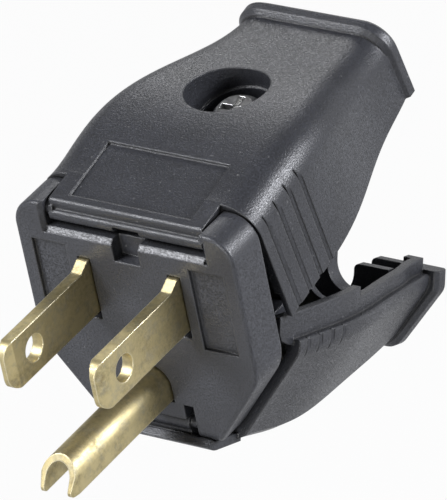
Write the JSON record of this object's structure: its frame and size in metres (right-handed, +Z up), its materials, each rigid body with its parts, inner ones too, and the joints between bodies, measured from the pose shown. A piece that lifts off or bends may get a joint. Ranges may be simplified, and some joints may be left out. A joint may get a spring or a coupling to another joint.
{
  "type": "grounded plug",
  "caption": "Grounded plug: flat blades and a U-shaped ground pin on a face block, between hinged hollow covers that swing open for wiring.",
  "frame": {"origin": "middle of the face, between the blades, on the plane that meets the receptacle", "axes": "+Y from the face back to the cord opening, +Z up with the ground pin below, +X right seen from the blades"},
  "size_m": [0.031, 0.0669, 0.0463],
  "materials": {
    "housing": "fine moulded grain",
    "brass": "stamped, lightly tarnished",
    "steel": "plated",
    "green_screw": "green dyed"
  },
  "bodies": {
    "face": {"face_block": "housing", "line_blade": "brass", "neutral_blade": "brass", "ground_pin": "brass"},
    "upper_cover": {"upper_cover": "housing"},
    "lower_cover": {"lower_cover": "housing"},
    "assembly_screw": {"assembly_screw": "steel"},
    "line_clamp": {"line_clamp": "brass"},
    "neutral_clamp": {"neutral_clamp": "brass"},
    "ground_clamp": {"ground_clamp": "brass"},
    "line_screw": {"line_screw": "brass"},
    "neutral_screw": {"neutral_screw": "steel"},
    "ground_screw": {"ground_screw": "green_screw"}
  },
  "joints": [
    {"name": "upper_cover_hinge", "type": "hinge", "parent": "face", "child": "upper_cover", "pos_m": [0, 0.0019, 0.0095], "axis": [1, 0, 0], "range_deg": [-12.5, 75]},
    {"name": "lower_cover_hinge", "type": "hinge", "parent": "face", "child": "lower_cover", "pos_m": [0, 0.00165, -0.0176], "axis": [-1, 0, 0], "range_deg": [-21.3, 45]},
    {"name": "assembly_screw_turn", "type": "hinge", "parent": "upper_cover", "child": "assembly_screw", "pos_m": [0, 0.02432, 0.01418], "axis": [0, -0.2045, 0.9789], "continuous": true},
    {"name": "line_clamp_slide", "type": "slide", "parent": "face", "child": "line_clamp", "axis": [0, 0, 1], "range_m": [-0.00079, 0.00039]},
    {"name": "line_screw_turn", "type": "hinge", "parent": "line_clamp", "child": "line_screw", "pos_m": [-0.0092, 0.01, 0.00625], "axis": [0, 0, 1], "range_deg": [-360, 180]},
    {"name": "neutral_clamp_slide", "type": "slide", "parent": "face", "child": "neutral_clamp", "axis": [0, 0, 1], "range_m": [-0.00079, 0.00039]},
    {"name": "neutral_screw_turn", "type": "hinge", "parent": "neutral_clamp", "child": "neutral_screw", "pos_m": [0.0092, 0.01, 0.00625], "axis": [0, 0, 1], "range_deg": [-360, 180]},
    {"name": "ground_clamp_slide", "type": "slide", "parent": "face", "child": "ground_clamp", "axis": [0, 0, -1], "range_m": [-0.00079, 0.00039]},
    {"name": "ground_screw_turn", "type": "hinge", "parent": "ground_clamp", "child": "ground_screw", "pos_m": [0, 0.0096, -0.01263], "axis": [0, 0, -1], "range_deg": [-360, 180]}
  ],
  "couplings": [
    {"joint": "line_screw_turn", "follows": "line_clamp_slide", "rad_per_m": 7913.3},
    {"joint": "neutral_screw_turn", "follows": "neutral_clamp_slide", "rad_per_m": 7913.3},
    {"joint": "ground_screw_turn", "follows": "ground_clamp_slide", "rad_per_m": 7913.3}
  ]
}
